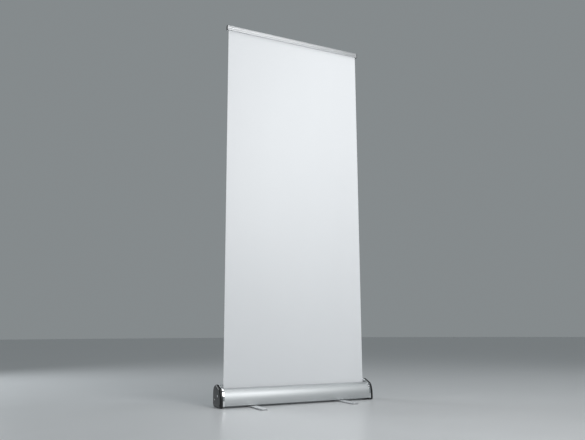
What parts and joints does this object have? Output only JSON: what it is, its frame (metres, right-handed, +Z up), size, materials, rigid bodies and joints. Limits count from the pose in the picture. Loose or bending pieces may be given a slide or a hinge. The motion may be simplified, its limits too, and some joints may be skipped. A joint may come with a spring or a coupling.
{
  "type": "roll-up banner stand",
  "caption": "Roll-up display stand: a blank graphic pulled from a low sprung cassette and held up by a clamping rail on a sectional pole behind it.",
  "frame": {"origin": "on the floor, under the middle of the stand's bounding box; the graphic's plane stands 25 mm behind it, at y = +0.025", "axes": "+Z up, +X along the cassette to the right as seen from the front, the graphic faces -Y"},
  "size_m": [0.9278, 0.354, 2.121],
  "materials": {
    "satin_aluminium": "satin anodised extrusion",
    "chrome_trim": "bright plated",
    "black_plastic": "fine moulded texture",
    "grey_plastic": "moulded",
    "zinc_steel": "zinc plated",
    "black_steel": "black screws",
    "spring_steel": "oiled wire",
    "white_film": "matt printable film",
    "brush_pile": "short pile",
    "rubber": "matt",
    "elastic_cord": "braided"
  },
  "bodies": {
    "cassette": {"cassette_housing": "satin_aluminium", "end_trim_left": "chrome_trim", "end_trim_right": "chrome_trim", "end_cap_left": "black_plastic", "end_cap_right": "black_plastic", "cap_screw_left_1": "black_steel", "cap_screw_left_2": "black_steel", "cap_screw_left_3": "black_steel", "cap_screw_right_1": "black_steel", "cap_screw_right_2": "black_steel", "cap_screw_right_3": "black_steel", "axle_screw_left": "zinc_steel", "axle_screw_right": "zinc_steel", "spring_rod": "zinc_steel", "idle_pin": "zinc_steel", "spring_anchor": "grey_plastic", "slot_brush_front": "brush_pile", "slot_brush_rear": "brush_pile", "leader_strip": "grey_plastic", "graphic_panel": "white_film", "pole_socket": "black_plastic", "pole_seat": "black_plastic", "foot_screw_left": "zinc_steel", "foot_screw_right": "zinc_steel", "foot_spacer_left": "black_plastic", "foot_spacer_right": "black_plastic", "foot_nut_left": "zinc_steel", "foot_nut_right": "zinc_steel"},
    "foot_left": {"foot_bar_left": "satin_aluminium", "foot_pad_left_front": "rubber", "foot_pad_left_rear": "rubber"},
    "foot_right": {"foot_bar_right": "satin_aluminium", "foot_pad_right_front": "rubber", "foot_pad_right_rear": "rubber"},
    "roller": {"roller_tube": "satin_aluminium", "roller_plug_left": "grey_plastic", "roller_plug_right": "grey_plastic", "leader_wrap": "white_film", "torsion_spring": "spring_steel"},
    "rail": {"rail_back": "satin_aluminium", "rail_cap_left": "black_plastic", "rail_cap_right": "black_plastic", "pole_clip": "black_plastic", "clip_screw_left": "zinc_steel", "clip_screw_right": "zinc_steel"},
    "jaw": {"rail_jaw": "satin_aluminium"},
    "pole_lower": {"pole_tube_lower": "satin_aluminium", "pole_foot_plug": "black_plastic", "ferrule_lower": "zinc_steel", "bungee_cord": "elastic_cord"},
    "pole_middle": {"pole_tube_middle": "satin_aluminium", "ferrule_middle": "zinc_steel"},
    "pole_upper": {"pole_tube_upper": "satin_aluminium", "pole_top_plug": "black_plastic"},
    "lock": {"lock_pin": "zinc_steel"}
  },
  "joints": [
    {"name": "foot_left_swivel", "type": "hinge", "parent": "cassette", "child": "foot_left", "pos_m": [-0.279, 0.029, 0.0045], "axis": [0, 0, 1], "range_deg": [0, 90]},
    {"name": "foot_right_swivel", "type": "hinge", "parent": "cassette", "child": "foot_right", "pos_m": [0.253, 0.029, 0.0045], "axis": [0, 0, -1], "range_deg": [0, 90]},
    {"name": "rail_lower", "type": "slide", "parent": "cassette", "child": "rail", "axis": [0, 0, -1], "range_m": [0, 1.98], "deforming": ["graphic_panel"]},
    {"name": "roller_spin", "type": "hinge", "parent": "cassette", "child": "roller", "pos_m": [0, 0.0076, 0.06], "axis": [1, 0, 0], "range_deg": [-6050, 0]},
    {"name": "jaw_open", "type": "hinge", "parent": "rail", "child": "jaw", "pos_m": [0, 0.0215, 2.1165], "axis": [-1, 0, 0], "range_deg": [0, 25]},
    {"name": "pole_lift", "type": "slide", "parent": "cassette", "child": "pole_lower", "axis": [0, 0, 1], "range_m": [0, 0.095]},
    {"name": "pole_middle_pull", "type": "slide", "parent": "pole_lower", "child": "pole_middle", "axis": [0, 0, 1], "range_m": [0, 0.05], "stiffness_N_per_m": 80},
    {"name": "pole_upper_pull", "type": "slide", "parent": "pole_middle", "child": "pole_upper", "axis": [0, 0, 1], "range_m": [0, 0.05], "stiffness_N_per_m": 80},
    {"name": "lock_pin_pull", "type": "slide", "parent": "cassette", "child": "lock", "axis": [-1, 0, 0], "range_m": [0, 0.012]}
  ],
  "couplings": [
    {"joint": "roller_spin", "follows": "rail_lower", "rad_per_m": -53}
  ]
}
